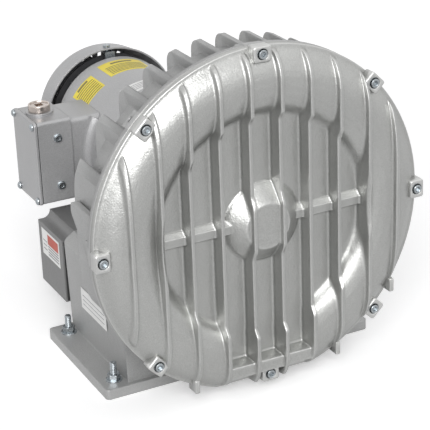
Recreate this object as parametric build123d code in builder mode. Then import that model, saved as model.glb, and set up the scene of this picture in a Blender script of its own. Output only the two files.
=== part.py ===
from build123d import *
import os
from math import cos, sin, pi, sqrt

# ---------------------------------------------------------------------------
# Side channel blower, direct driven by a totally enclosed fan cooled motor.
# Frame: +X right and -Y forward as seen at the cover, +Z up.
# Origin: centre of the foot bolt pattern, on the underside of the feet.
# ---------------------------------------------------------------------------

# Stance and spindle
axis_height = 200.0
foot_width = 338.0
foot_length = 176.0
foot_thickness = 12.0
foot_corner_r = 5.0
foot_pitch_x = 302.0
foot_pitch_y = 134.0
parting_y = -138.0

# Casting walls and running gaps
wall = 6.0
side_gap = 0.6
tip_gap = 1.0
seat_gap = 0.05

# Cover
flange_r = 196.0
flange_h = 7.0
bolt_circle_in = 6.0
bottom_screw_in = 16.0
flat_in = 10.0
flat_cut = 60.0
lug_width = 21.0
lug_reach = 8.5
lug_round = 1.2
lug_h = 20.0
lug_depth = 24.0
lug_count = 8
disc_h = 5.5
plug_depth = 5.0
torus_r = 156.5
torus_half = 31.5
torus_h = 22.0
cover_rib_count = 10
cover_rib_pitch = 35.5
cover_rib_crest = 4.6
cover_rib_draft = 4.0
cover_rib_h = 21.5
cover_rib_proud = 7.0
rib_tip_h = 15.0
rib_tip_reach = 7.0
boss_base_r = 42.0
boss_face_r = 26.5
boss_h = 23.0
bar_top = 10.0
bar_bottom = -5.0
bar_h = 12.0
stripper_half = 52.0
ledge_root = 100.0
ledge_top = 158.0
ledge_bottom = 174.0

# Side channel and impeller
impeller_width = 34.0
channel_depth = 17.0
channel_half = 21.0
blade_root_r = 129.0
blade_tip_r = 170.0
blade_count = 42
blade_thickness = 3.0
impeller_web = 10.0
hub_r = 30.0
hub_bore_r = 11.0
blade_web = 4.0
nut_h = 9.0
nut_wide = 24.0
key_side = 5.0

# Rear housing
fin_in = 6.0
fin_pitch = 29.0
fin_thickness = 6.0
fin_depth = 83.0
fin_round = 14.0
fin_gap = 9.0
motor_pad_r = 86.0
pedestal_foot_half = 140.0
pedestal_top_half = 143.0
pedestal_front = 82.0
pedestal_wall = 9.0
end_wall = 20.0
pedestal_corner_r = 9.0
centre_web = 14.0
shoulder_in = 10.0
shoulder_drop = 40.0
shoulder_top = 37.0
shoulder_wall = 7.0
horn_drop = 17.0
horn_back = 66.0
horn_root = 28.0
horn_round = 7.0
deck_drop = 70.0
saddle_gap = 7.0
duct_r = 26.0
duct_x = 76.0
duct_drop = 115.0

# Muffler box
muffler_length = 77.0
muffler_drop = 160.0
muffler_step = 16.0
muffler_step_drop = 10.0
gasket_thickness = 0.8
gasket_inset = 2.0
port_thread_r = 28.4
port_boss_r = 37.0
foam_thickness = 8.0

# Motor
motor_r = 80.5
motor_front = -52.0
bell_length = 34.0
shell_length = 255.0
shell_wall = 4.0
stator_length = 120.0
stator_inner_r = 45.0
air_gap = 0.6
shaft_r = 12.5
mount_pcd_r = 77.0
through_r = 2.4
through_pcd_r = 72.5
bell_flange = 11.0
corner_angles = 45.0
bearing_bore_r = 12.5
bearing_outer_r = 26.0
bearing_width = 15.0
bearing_race = 4.5
fan_cover_r = 89.0
fan_cover_lip = 16.0
fan_cover_length = 49.0
fan_cover_wall = 1.6
fan_r = 80.0
fan_blades = 7
fan_hub_r = 20.0
fan_disc_t = 3.0

# Conduit box
conduit_reach = 150.0
conduit_front = 134.0
conduit_depth = 70.0
conduit_low = -50.0
conduit_high = 53.0
conduit_wall = 3.5
base_x = 103.0
base_low = -24.0
base_high = 50.0
lid_thickness = 4.0
lid_gasket = 1.0
lid_screw_r = 2.5
plug_r = 14.0
plug_x = -128.0
plug_y = 171.0
hub_rise = 3.0
entry_r = 10.5
entry_depth = 12.0
entry_x = -124.0
entry_drop = -18.0
box_screw_x = -121.0
box_screw_drops = (31.0, -29.0)
box_screw_r = 2.0
box_screw_head_r = 4.2
box_screw_head_h = 2.6

# Fasteners
m8_r = 4.0
m8_head_r = 6.6
m8_head_h = 8.0
m6_r = 3.0
m6_head_r = 5.0
m6_head_h = 6.0
m6_length = 20.0
screw_seat = 5.0
screw_washer_r = 5.6
screw_washer_t = 1.0
m5_r = 2.5
m5_head_r = 4.6
m5_head_h = 3.0
stud_r = 4.0
stud_above = 22.0
nut_across = 13.0
nut_height = 6.5
foot_washer_r = 9.5
foot_washer_t = 1.6

# Places that follow from the sizes above
spindle = Axis((0, 0, axis_height), (0, 1, 0))
axial = Plane(origin=(0, 0, axis_height), x_dir=(0, 1, 0), z_dir=(1, 0, 0))
bolt_circle_r = flange_r - bolt_circle_in
bottom_screw_r = flange_r - bottom_screw_in
flat_bottom = flange_r - flat_in
fin_r = flange_r - fin_in
housing_r = fin_r - fin_gap
shoulder_half = flange_r - shoulder_in
impeller_front = parting_y + plug_depth + side_gap
impeller_back = impeller_front + impeller_width
housing_wall_y = impeller_back + side_gap
housing_back = housing_wall_y + wall + 4
fin_back = parting_y + fin_depth
pedestal_back = foot_length / 2
deck_z = axis_height - deck_drop
saddle_r = motor_r + saddle_gap
muffler_front = pedestal_back + gasket_thickness
muffler_back = muffler_front + muffler_length
muffler_floor = axis_height - muffler_drop
shell_front = motor_front + bell_length
shell_back = shell_front + shell_length
motor_back = shell_back + 12
drive_bearing_y = motor_front + 14
rear_bearing_y = shell_back - 22
fan_cover_front = shell_back + fan_cover_lip
fan_cover_back = fan_cover_front + fan_cover_length
channel_r = blade_tip_r + tip_gap - channel_half

port_spots = [(-duct_x, -duct_drop), (duct_x, -duct_drop)]
screw_x = pedestal_top_half - 13
muffler_screws_at = [(x, z) for x in (-screw_x, screw_x) for z in (-muffler_drop + 12, -deck_drop - 20)]


def facing(y):
    """Plane square to the spindle at y: local x is +X, local y is +Z, normal is -Y."""
    return Plane(origin=(0, y, axis_height), x_dir=(1, 0, 0), z_dir=(0, -1, 0))


def ahead(height):
    """Station in front of the parting face."""
    return parting_y - height


def screw_spots():
    """Places of the cover screws on their circle; the lowest sits further in."""
    spots = []
    for k in range(lug_count):
        angle = 2 * pi * k / lug_count
        reach = bottom_screw_r if k == lug_count // 2 else bolt_circle_r
        spots.append((reach * sin(angle), reach * cos(angle)))
    return spots


def save(part, name):
    part.label = name
    export_step(part, f"parts/{name}.step")


os.makedirs("parts", exist_ok=True)
cover_rib_x = [(i - (cover_rib_count - 1) / 2) * cover_rib_pitch for i in range(cover_rib_count)]
flat_width = 2 * cover_rib_x[7] - 2 * cover_rib_crest
head_seat = lug_h - screw_seat

# Outline of all the screw lugs, shared by the cover and the housing
with BuildSketch(Plane.XY) as lug_outline:
    for k, spot in enumerate(screw_spots()):
        with Locations(Location(spot, -360 * k / lug_count)):
            RectangleRounded(lug_width, 2 * lug_reach, lug_round)

# --- Front cover: one aluminium casting ------------------------------------
# Channel groove shared by the cover and the housing: a half round trench on
# each side of the impeller, interrupted by the stripper at the bottom.


def channel_profile(mouth_y, round_y, depth):
    """Trench open at mouth_y; its half round floor starts at round_y and is depth deep."""
    with BuildSketch(axial) as trench:
        with BuildLine():
            inner = channel_r - channel_half
            outer = channel_r + channel_half
            Polyline((round_y, outer), (mouth_y, outer), (mouth_y, inner), (round_y, inner))
            SagittaArc((round_y, inner), (round_y, outer), -depth)
        make_face()
    return trench.sketch


groove_face = impeller_front - side_gap
with BuildPart() as front_trench:
    add(channel_profile(groove_face + 1, groove_face, -channel_depth))
    revolve(axis=spindle)
    with Locations((0, 0, axis_height - flange_r / 2)):
        Box(2 * stripper_half, 500, flange_r, mode=Mode.SUBTRACT)

with BuildPart() as rib_envelope:
    with BuildSketch(axial):
        with BuildLine():
            crest = torus_h + cover_rib_proud
            Polyline(
                (parting_y, 0),
                (ahead(boss_h + 6), 0),
                (ahead(boss_h + 6), boss_face_r + 1),
                (ahead(cover_rib_h), boss_base_r),
                (ahead(cover_rib_h), torus_r - torus_half - 1),
                (ahead(crest - 1), torus_r - torus_half + 12),
            )
            ThreePointArc(
                (ahead(crest - 1), torus_r - torus_half + 12),
                (ahead(crest), torus_r + 3),
                (ahead(crest - 8), flange_r - 8),
            )
            Polyline(
                (ahead(crest - 8), flange_r - 8),
                (ahead(flange_h), flange_r - 1),
                (parting_y, flange_r - 1),
                (parting_y, 0),
            )
        make_face()
    revolve(axis=spindle)

with BuildPart() as cover_ribs:
    # Vertical ribs with draft, held under the rib envelope
    with BuildSketch(Plane.XY.offset(axis_height - flange_r)):
        rib_foot = (cover_rib_crest + cover_rib_draft) / 2
        rib_top = torus_h + cover_rib_proud + 2
        for rib_x in cover_rib_x:
            with BuildLine():
                Polyline(
                    (rib_x - rib_foot, parting_y),
                    (rib_x - cover_rib_crest / 2, ahead(rib_top)),
                    (rib_x + cover_rib_crest / 2, ahead(rib_top)),
                    (rib_x + rib_foot, parting_y),
                    close=True,
                )
            make_face()
    extrude(amount=2 * flange_r)
    add(rib_envelope.part, mode=Mode.INTERSECT)

with BuildPart() as front_cover:
    # Recessed disc, channel bulge and parting flange
    with BuildSketch(axial):
        with BuildLine():
            bulge_in = torus_r - torus_half
            bulge_out = torus_r + torus_half
            Polyline((parting_y, 0), (ahead(disc_h), 0), (ahead(disc_h), bulge_in - 2))
            Line((ahead(disc_h), bulge_in - 2), (ahead(torus_h - 7), bulge_in + 9))
            ThreePointArc(
                (ahead(torus_h - 7), bulge_in + 9),
                (ahead(torus_h), torus_r),
                (ahead(torus_h - 8), bulge_out - 5),
            )
            Polyline(
                (ahead(torus_h - 8), bulge_out - 5),
                (ahead(flange_h), bulge_out + 3),
                (ahead(flange_h), flange_r),
                (parting_y, flange_r),
                (parting_y, 0),
            )
        make_face()
    revolve(axis=spindle)
    # The plug of the disc fits into the housing mouth
    with BuildSketch(facing(parting_y + plug_depth)):
        Circle(blade_tip_r + tip_gap - seat_gap)
    extrude(amount=plug_depth + disc_h / 2)
    # No bulge between the channel ends, only a flat topped rim
    with Locations((0, ahead(disc_h + torus_h), axis_height - (ledge_root + ledge_top) / 2)):
        Box(2 * stripper_half, 2 * torus_h, ledge_top - ledge_root, mode=Mode.SUBTRACT)
    with Locations((0, ahead(torus_h / 2), axis_height - (ledge_top + ledge_bottom) / 2)):
        Box(2 * stripper_half, torus_h, ledge_bottom - ledge_top)
    with Locations((0, ahead(flange_h + torus_h), axis_height - ledge_bottom - torus_h)):
        Box(2 * stripper_half, 2 * torus_h, 2 * torus_h, mode=Mode.SUBTRACT)
    add(cover_ribs.part)
    # Squared rib tips that run past the rim
    for rib_x in (cover_rib_x[2], cover_rib_x[7], cover_rib_x[9]):
        rim_drop = sqrt(flange_r**2 - rib_x**2)
        with Locations((rib_x, ahead(flange_h + rib_tip_h / 2), axis_height - rim_drop)):
            Box(cover_rib_crest + 1, rib_tip_h, 2 * rib_tip_reach)
    # Horizontal bar and central boss
    with BuildSketch(Plane.YZ.offset(-bulge_in)):
        with BuildLine():
            Polyline(
                (parting_y, axis_height + bar_bottom),
                (ahead(bar_h), axis_height + bar_bottom),
                (ahead(bar_h), axis_height + bar_top - 6),
                (ahead(bar_h - 5), axis_height + bar_top),
                (parting_y, axis_height + bar_top),
                close=True,
            )
        make_face()
    extrude(amount=2 * bulge_in)
    with BuildSketch(facing(ahead(disc_h - 1))):
        Circle(boss_base_r)
    with BuildSketch(facing(ahead(boss_h))):
        Circle(boss_face_r)
    loft()
    # Screw lugs with spot faces
    with BuildSketch(facing(parting_y)):
        add(lug_outline.sketch)
    extrude(amount=lug_h)
    with BuildSketch(facing(ahead(head_seat))):
        with Locations(*screw_spots()):
            Circle(screw_washer_r + 0.4)
    extrude(amount=torus_h, mode=Mode.SUBTRACT)
    with BuildSketch(facing(parting_y)):
        with Locations(*screw_spots()):
            Circle(m6_r + 0.4)
    extrude(amount=lug_h, mode=Mode.SUBTRACT)
    # Flattened below the channel ends
    with Locations((0, parting_y, axis_height - flat_bottom - flat_cut / 2)):
        Box(flat_width, 2 * flat_cut, flat_cut, mode=Mode.SUBTRACT)
    # Channel trench and the pocket over the shaft nut
    add(front_trench.part, mode=Mode.SUBTRACT)
    with BuildSketch(facing(groove_face)):
        Circle(boss_face_r - 4)
    extrude(amount=boss_h - 2, mode=Mode.SUBTRACT)
save(front_cover.part, "front_cover")

# --- Rear housing: cast with its pedestal, feet and port ducts -------------
with BuildPart() as rear_trench:
    add(channel_profile(parting_y, housing_wall_y, channel_depth))
    revolve(axis=spindle)
    with Locations((0, 0, axis_height - flange_r / 2)):
        Box(2 * stripper_half, 500, flange_r, mode=Mode.SUBTRACT)

drum_back = housing_back + channel_depth + 2
with BuildPart() as fin_envelope:
    with BuildSketch(axial):
        with BuildLine():
            Polyline(
                (parting_y, motor_pad_r - 8),
                (parting_y, fin_r),
                (fin_back, fin_r),
                (fin_back, fin_r - 30),
                (drum_back + 4, motor_pad_r + 12),
                (drum_back + 4, motor_pad_r - 8),
                close=True,
            )
        make_face()
        fillet(vertices().group_by(Axis.X)[-1].sort_by(Axis.Y)[-1], radius=fin_round)
    revolve(axis=spindle)

fin_rows = int(fin_r / fin_pitch)
fin_x = [fin_pitch * i for i in range(-fin_rows, fin_rows + 1)]
with BuildPart() as housing_fins:
    with BuildSketch(Plane.XY.offset(axis_height - fin_r)):
        for x in fin_x:
            with Locations((x, parting_y + fin_depth / 2)):
                Rectangle(fin_thickness, fin_depth)
    extrude(amount=2 * fin_r)
    add(fin_envelope.part, mode=Mode.INTERSECT)

with BuildPart() as pedestal_block:
    with BuildSketch(Plane.XZ.offset(-pedestal_back)):
        with BuildLine():
            Polyline(
                (-pedestal_foot_half, foot_thickness / 2),
                (-pedestal_top_half, deck_z - muffler_step_drop),
                (-pedestal_top_half + muffler_step, deck_z),
                (pedestal_top_half - muffler_step, deck_z),
                (pedestal_top_half, deck_z - muffler_step_drop),
                (pedestal_foot_half, foot_thickness / 2),
                close=True,
            )
        make_face()
    extrude(amount=pedestal_back + pedestal_front)
    for side in (-1, 1):
        corner_spot = (side * pedestal_top_half, pedestal_back, deck_z / 2)
        fillet(pedestal_block.edges().sort_by_distance(corner_spot)[0], radius=pedestal_corner_r)

with BuildPart() as rear_housing:
    # Drum with parting flange and motor pad
    with BuildSketch(axial):
        with BuildLine():
            Polyline(
                (parting_y, 0),
                (parting_y, flange_r),
                (parting_y + flange_h, flange_r),
                (parting_y + flange_h + 4, housing_r + 4),
                (parting_y + flange_h + 4, housing_r),
                (drum_back - 14, housing_r),
                (drum_back - 4, housing_r - 7),
                (drum_back, housing_r - 18),
                (drum_back, channel_r - channel_half + 14),
                (housing_back, channel_r - channel_half - 6),
                (housing_back, motor_pad_r + 4),
                (motor_front - 10, motor_pad_r),
                (motor_front, motor_pad_r),
                (motor_front, 0),
                close=True,
            )
        make_face()
    revolve(axis=spindle)
    add(housing_fins.part)
    # Lugs behind those of the cover
    with BuildSketch(facing(parting_y + lug_depth)):
        add(lug_outline.sketch)
    extrude(amount=lug_depth)
    with Locations((0, parting_y, axis_height - flat_bottom - flat_cut / 2)):
        Box(flat_width, 2 * flat_cut, flat_cut, mode=Mode.SUBTRACT)
    # Upright side plates, drawn out into a round horn behind
    for plate_x in (-shoulder_half, shoulder_half - shoulder_wall):
        with BuildSketch(Plane.YZ.offset(plate_x)):
            with BuildLine():
                Polyline(
                    (parting_y + flange_h, axis_height - shoulder_drop),
                    (parting_y + flange_h + horn_root, axis_height - horn_drop),
                    (parting_y + flange_h + horn_back, axis_height + shoulder_top - 2 * horn_round),
                    (parting_y + flange_h + horn_back, axis_height + shoulder_top),
                    (parting_y + flange_h, axis_height + shoulder_top),
                    close=True,
                )
            make_face()
            fillet(vertices().group_by(Axis.X)[-1], radius=horn_round - 0.1)
        extrude(amount=shoulder_wall)
    # Pedestal that carries the drum and the ports
    add(pedestal_block.part)
    with BuildSketch(Plane.XY):
        RectangleRounded(foot_width, foot_length, foot_corner_r)
    extrude(amount=foot_thickness)
    with BuildSketch(facing(pedestal_back)):
        Circle(saddle_r)
    extrude(amount=pedestal_back - motor_front, mode=Mode.SUBTRACT)
    # Hollow underneath, round two solid port ducts
    pocket_top = axis_height - saddle_r - wall
    Box(
        2 * (pedestal_foot_half - pedestal_wall),
        foot_length - 2 * end_wall,
        2 * pocket_top,
        mode=Mode.SUBTRACT,
    )
    with Locations((0, 0, pocket_top / 2)):
        Box(centre_web, foot_length - 2 * end_wall, pocket_top)
    for side in (-1, 1):
        with BuildSketch(facing(pedestal_back)):
            with Locations((side * duct_x, -duct_drop)):
                Circle(duct_r + wall)
        extrude(amount=pedestal_back - impeller_back - 10)
    # Chamber of the impeller, channel trench, ducts and shaft bore
    with BuildSketch(facing(impeller_back + side_gap)):
        Circle(blade_tip_r + tip_gap)
    extrude(amount=impeller_back + side_gap - parting_y, mode=Mode.SUBTRACT)
    add(rear_trench.part, mode=Mode.SUBTRACT)
    for side in (-1, 1):
        with BuildSketch(facing(pedestal_back)):
            with Locations((side * duct_x, -duct_drop)):
                Circle(duct_r)
        extrude(amount=pedestal_back - impeller_back, mode=Mode.SUBTRACT)
    with BuildSketch(facing(motor_front)):
        Circle(hub_r - 6)
    extrude(amount=motor_front - parting_y, mode=Mode.SUBTRACT)
    # Tapped holes for the cover, clearance holes in the feet
    with BuildSketch(facing(parting_y + m6_length)):
        with Locations(*screw_spots()):
            Circle(m6_r + seat_gap)
    extrude(amount=m6_length, mode=Mode.SUBTRACT)
    with BuildSketch(facing(motor_front)):
        with PolarLocations(mount_pcd_r, 4, start_angle=corner_angles):
            Circle(m8_r + seat_gap)
    extrude(amount=10, mode=Mode.SUBTRACT)
    with BuildSketch(facing(pedestal_back)):
        with Locations(*muffler_screws_at):
            Circle(m8_r + seat_gap)
    extrude(amount=20, mode=Mode.SUBTRACT)
    with GridLocations(foot_pitch_x, foot_pitch_y, 2, 2):
        Hole(radius=stud_r + 0.5, depth=4 * foot_thickness)
save(rear_housing.part, "rear_housing")

# --- Cover screws and their washers -----------------------------------------
with BuildPart() as cover_washers:
    with BuildSketch(facing(ahead(head_seat))):
        with Locations(*screw_spots()):
            Circle(screw_washer_r)
            Circle(m6_r + seat_gap, mode=Mode.SUBTRACT)
    extrude(amount=screw_washer_t)
save(cover_washers.part, "cover_washers")

with BuildPart() as cover_screws:
    head_foot = head_seat + screw_washer_t
    with BuildSketch(facing(ahead(head_foot))):
        with Locations(*screw_spots()):
            Circle(m6_head_r)
    extrude(amount=m6_head_h)
    with BuildSketch(facing(ahead(head_foot))):
        with Locations(*screw_spots()):
            Circle(m6_r)
    extrude(amount=-(m6_length + head_foot - 2))
    with BuildSketch(facing(ahead(head_foot + m6_head_h))):
        with Locations(*screw_spots()):
            RegularPolygon(m6_r * 0.95, 6)
    extrude(amount=-m6_head_h / 2, mode=Mode.SUBTRACT)
save(cover_screws.part, "cover_screws")

# --- Muffler box with its gasket, foam liners and screws --------------------
def muffler_outline():
    """Cross section of the box: stepped shoulders and a saddle under the motor."""
    with BuildSketch(Plane.XY) as outline:
        with BuildLine():
            top_half = pedestal_top_half - muffler_step
            shoulder = -deck_drop - muffler_step_drop
            Polyline(
                (top_half, -deck_drop),
                (-top_half, -deck_drop),
            )
            RadiusArc((-top_half, -deck_drop), (-top_half - 9, shoulder), 10)
            Polyline(
                (-top_half - 9, shoulder),
                (-pedestal_top_half, shoulder),
                (-pedestal_top_half, -muffler_drop),
                (pedestal_top_half, -muffler_drop),
                (pedestal_top_half, shoulder),
                (top_half + 9, shoulder),
            )
            RadiusArc((top_half + 9, shoulder), (top_half, -deck_drop), 10)
        make_face()
        Circle(saddle_r, mode=Mode.SUBTRACT)
    return outline.sketch


with BuildPart() as muffler_gasket:
    with BuildSketch(facing(muffler_front)):
        add(muffler_outline())
        offset(amount=-gasket_inset)
        with Locations(*port_spots):
            Circle(duct_r, mode=Mode.SUBTRACT)
        with Locations(*muffler_screws_at):
            Circle(m8_r + 0.4, mode=Mode.SUBTRACT)
    extrude(amount=gasket_thickness)
save(muffler_gasket.part, "muffler_gasket")

foam_r = port_thread_r + foam_thickness
port_wall = 12.0
with BuildPart() as muffler_box:
    with BuildSketch(facing(muffler_back)):
        add(muffler_outline())
    extrude(amount=muffler_length)
    with BuildSketch(Plane.XY.offset(muffler_floor)):
        with Locations((0, (muffler_front + muffler_back) / 2)):
            Rectangle(2 * pedestal_top_half - 2 * wall, muffler_length - 2 * wall)
    extrude(amount=muffler_drop - saddle_r - wall, mode=Mode.SUBTRACT)
    with BuildSketch(facing(muffler_back)):
        with Locations(*port_spots):
            Circle(foam_r + wall)
        with Locations(*muffler_screws_at):
            Circle(m8_r + wall)
        add(muffler_outline(), mode=Mode.INTERSECT)
    extrude(amount=muffler_length)
    with BuildSketch(facing(muffler_back)):
        with Locations(*port_spots):
            RegularPolygon(port_boss_r, 8, rotation=22.5)
    extrude(amount=-5)
    with BuildSketch(facing(muffler_back - port_wall)):
        with Locations(*port_spots):
            Circle(foam_r)
    extrude(amount=muffler_length - port_wall, mode=Mode.SUBTRACT)
    with BuildSketch(facing(muffler_back + 5)):
        with Locations(*port_spots):
            Circle(port_thread_r)
        with Locations(*muffler_screws_at):
            Circle(m8_r + 0.4)
    extrude(amount=muffler_length + 5, mode=Mode.SUBTRACT)
save(muffler_box.part, "muffler_box")

for name, spot in (("inlet_foam", port_spots[0]), ("outlet_foam", port_spots[1])):
    with BuildPart() as foam:
        with BuildSketch(facing(muffler_back - port_wall - 0.3)):
            with Locations(spot):
                Circle(foam_r - 0.3)
                Circle(duct_r, mode=Mode.SUBTRACT)
        extrude(amount=muffler_length - port_wall - 0.6)
    save(foam.part, name)

with BuildPart() as muffler_screws:
    with BuildSketch(facing(muffler_back)):
        with Locations(*muffler_screws_at):
            RegularPolygon(nut_across / 2, 6, major_radius=False)
    extrude(amount=-5.3)
    with BuildSketch(facing(muffler_back)):
        with Locations(*muffler_screws_at):
            Circle(m8_r)
    extrude(amount=muffler_length + 18)
save(muffler_screws.part, "muffler_screws")

# --- Foot studs with nuts and washers ---------------------------------------
with BuildPart() as foot_studs:
    with GridLocations(foot_pitch_x, foot_pitch_y, 2, 2):
        Cylinder(stud_r, foot_thickness + stud_above, align=(Align.CENTER, Align.CENTER, Align.MIN))
save(foot_studs.part, "foot_studs")

with BuildPart() as foot_washers:
    with BuildSketch(Plane.XY.offset(foot_thickness)):
        with GridLocations(foot_pitch_x, foot_pitch_y, 2, 2):
            Circle(foot_washer_r)
            Circle(stud_r + seat_gap, mode=Mode.SUBTRACT)
    extrude(amount=foot_washer_t)
save(foot_washers.part, "foot_washers")

with BuildPart() as foot_nuts:
    with BuildSketch(Plane.XY.offset(foot_thickness + foot_washer_t)):
        with GridLocations(foot_pitch_x, foot_pitch_y, 2, 2):
            RegularPolygon(nut_across / 2, 6, major_radius=False)
            Circle(stud_r + seat_gap, mode=Mode.SUBTRACT)
    extrude(amount=nut_height)
save(foot_nuts.part, "foot_nuts")


# --- Motor -------------------------------------------------------------------
def turned(points):
    """Closed section of (station, radius) points, in the plane of the spindle."""
    with BuildSketch(axial) as section:
        with BuildLine():
            Polyline(*points, close=True)
        make_face()
    return section.sketch


def ring(front, back, inner, outer):
    """Plain turned ring between two stations."""
    return turned([(front, inner), (front, outer), (back, outer), (back, inner)])


stator_front = shell_front + 60
stator_back = stator_front + stator_length

with BuildPart() as drive_end_bell:
    add(turned([
        (motor_front, bearing_outer_r - 4),
        (motor_front, motor_pad_r),
        (motor_front + bell_flange, motor_pad_r),
        (motor_front + bell_flange, 63),
        (shell_front - 1, motor_r),
        (shell_front, motor_r),
        (shell_front, motor_r - shell_wall - seat_gap),
        (shell_front + 6, motor_r - shell_wall - seat_gap),
        (shell_front + 6, 66),
        (motor_front + bell_flange + 4, bearing_outer_r + 26),
        (motor_front + bell_flange + 4, bearing_outer_r + 6),
        (drive_bearing_y + bearing_width / 2, bearing_outer_r + 6),
        (drive_bearing_y + bearing_width / 2, bearing_outer_r + seat_gap),
        (drive_bearing_y - bearing_width / 2, bearing_outer_r + seat_gap),
        (drive_bearing_y - bearing_width / 2, bearing_outer_r - 4),
    ]))
    revolve(axis=spindle)
    with BuildSketch(facing(motor_front + bell_flange)):
        with PolarLocations(mount_pcd_r, 4, start_angle=corner_angles):
            Circle(m8_r + seat_gap)
    extrude(amount=bell_flange, mode=Mode.SUBTRACT)
    with BuildSketch(facing(shell_front + 6)):
        with PolarLocations(through_pcd_r, 4, start_angle=corner_angles):
            Circle(through_r + seat_gap)
    extrude(amount=12, mode=Mode.SUBTRACT)
save(drive_end_bell.part, "drive_end_bell")

with BuildPart() as motor_mount_screws:
    with BuildSketch(facing(motor_front + bell_flange + m8_head_h)):
        with PolarLocations(mount_pcd_r, 4, start_angle=corner_angles):
            Circle(m8_head_r)
    extrude(amount=m8_head_h)
    with BuildSketch(facing(motor_front + bell_flange)):
        with PolarLocations(mount_pcd_r, 4, start_angle=corner_angles):
            Circle(m8_r)
    extrude(amount=bell_flange + 9)
save(motor_mount_screws.part, "motor_mount_screws")

with BuildPart() as motor_shell:
    add(ring(shell_front, shell_back, motor_r - shell_wall, motor_r))
    revolve(axis=spindle)
save(motor_shell.part, "motor_shell")

with BuildPart() as stator_core:
    add(ring(stator_front, stator_back, stator_inner_r, motor_r - shell_wall - seat_gap))
    revolve(axis=spindle)
    with BuildSketch(facing(stator_back)):
        with PolarLocations(through_pcd_r, 4, start_angle=corner_angles):
            SlotCenterPoint((0, 0), (4, 0), 2 * through_r + 1.2)
    extrude(amount=stator_length, mode=Mode.SUBTRACT)
save(stator_core.part, "stator_core")

with BuildPart() as stator_windings:
    for end_front, end_back in (
        (stator_front - 26, stator_front - seat_gap),
        (stator_back + seat_gap, stator_back + 26),
    ):
        with BuildSketch(axial):
            winding_mid = ((end_front + end_back) / 2, (stator_inner_r + through_pcd_r) / 2 - 1)
            with Locations(winding_mid):
                RectangleRounded(end_back - end_front, through_pcd_r - stator_inner_r - 8, 8)
        revolve(axis=spindle)
save(stator_windings.part, "stator_windings")

with BuildPart() as rear_end_bell:
    add(turned([
        (shell_back - 6, motor_r - shell_wall - seat_gap),
        (shell_back, motor_r - shell_wall - seat_gap),
        (shell_back, motor_r),
        (shell_back + 5, motor_r),
        (motor_back, motor_r - 9),
        (motor_back, shaft_r + 1),
        (rear_bearing_y + bearing_width / 2, shaft_r + 1),
        (rear_bearing_y + bearing_width / 2, bearing_outer_r + seat_gap),
        (rear_bearing_y - bearing_width / 2, bearing_outer_r + seat_gap),
        (rear_bearing_y - bearing_width / 2, bearing_outer_r + 6),
        (shell_back + 4, bearing_outer_r + 6),
        (shell_back + 4, 65),
        (shell_back - 6, 66),
    ]))
    revolve(axis=spindle)
    with BuildSketch(facing(motor_back)):
        with PolarLocations(through_pcd_r, 4, start_angle=corner_angles):
            Circle(through_r + seat_gap)
    extrude(amount=motor_back - shell_back + 6, mode=Mode.SUBTRACT)
save(rear_end_bell.part, "rear_end_bell")

with BuildPart() as through_bolts:
    with BuildSketch(facing(motor_back + 4)):
        with PolarLocations(through_pcd_r, 4, start_angle=corner_angles):
            RegularPolygon(4.4, 6)
    extrude(amount=4)
    with BuildSketch(facing(motor_back)):
        with PolarLocations(through_pcd_r, 4, start_angle=corner_angles):
            Circle(through_r)
    extrude(amount=motor_back - shell_front + 4)
save(through_bolts.part, "through_bolts")

with BuildPart() as shaft_seal:
    seal_back = motor_front - 8
    add(turned([
        (seal_back - 9, shaft_r + 0.3),
        (seal_back - 9, hub_r - 6.05),
        (seal_back, hub_r - 6.05),
        (seal_back, shaft_r + 6),
        (seal_back - 6, shaft_r + 6),
    ]))
    revolve(axis=spindle)
save(shaft_seal.part, "shaft_seal")

bearings = (("drive_bearing", drive_bearing_y), ("rear_bearing", rear_bearing_y))
for name, station in bearings:
    front = station - bearing_width / 2
    back = station + bearing_width / 2
    with BuildPart() as outer_race:
        add(turned([
            (front, bearing_outer_r - bearing_race),
            (front, bearing_outer_r),
            (back, bearing_outer_r),
            (back, bearing_outer_r - bearing_race),
            (back - 1, bearing_bore_r + bearing_race + 0.4),
            (back - 2, bearing_bore_r + bearing_race + 0.4),
            (back - 2, bearing_outer_r - bearing_race),
            (front + 2, bearing_outer_r - bearing_race),
            (front + 2, bearing_bore_r + bearing_race + 0.4),
            (front + 1, bearing_bore_r + bearing_race + 0.4),
        ]))
        revolve(axis=spindle)
    save(outer_race.part, name + "_outer")
    with BuildPart() as inner_race:
        add(ring(front, back, bearing_bore_r + seat_gap, bearing_bore_r + bearing_race))
        revolve(axis=spindle)
    save(inner_race.part, name + "_inner")

# --- Rotor: shaft, cage core, cooling fan and impeller ----------------------
shaft_front = impeller_front - nut_h - 5
impeller_seat = impeller_back + 1.2
fan_front = motor_back + 6
fan_back = fan_front + 30
with BuildPart() as motor_shaft:
    add(turned([
        (shaft_front, 0),
        (shaft_front, hub_bore_r - 1),
        (impeller_front, hub_bore_r - 1),
        (impeller_front, hub_bore_r - seat_gap),
        (impeller_seat, hub_bore_r - seat_gap),
        (impeller_seat, shaft_r),
        (drive_bearing_y + bearing_width / 2 + 4, shaft_r),
        (drive_bearing_y + bearing_width / 2 + 4, shaft_r + 5),
        (rear_bearing_y - bearing_width / 2 - 4, shaft_r + 5),
        (rear_bearing_y - bearing_width / 2 - 4, shaft_r),
        (fan_front, shaft_r),
        (fan_front, hub_bore_r - seat_gap),
        (fan_back + 3, hub_bore_r - seat_gap),
        (fan_back + 3, 0),
    ]))
    revolve(axis=spindle)
    key_length = impeller_width - 8
    with Locations((0, (impeller_front + impeller_back) / 2, axis_height + hub_bore_r)):
        Box(key_side + 2 * seat_gap, key_length, key_side + 2 * seat_gap, mode=Mode.SUBTRACT)
save(motor_shaft.part, "motor_shaft")

with BuildPart() as rotor_core:
    add(ring(stator_front, stator_back, shaft_r + 5 + seat_gap, stator_inner_r - air_gap))
    revolve(axis=spindle)
save(rotor_core.part, "rotor_core")

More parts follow.
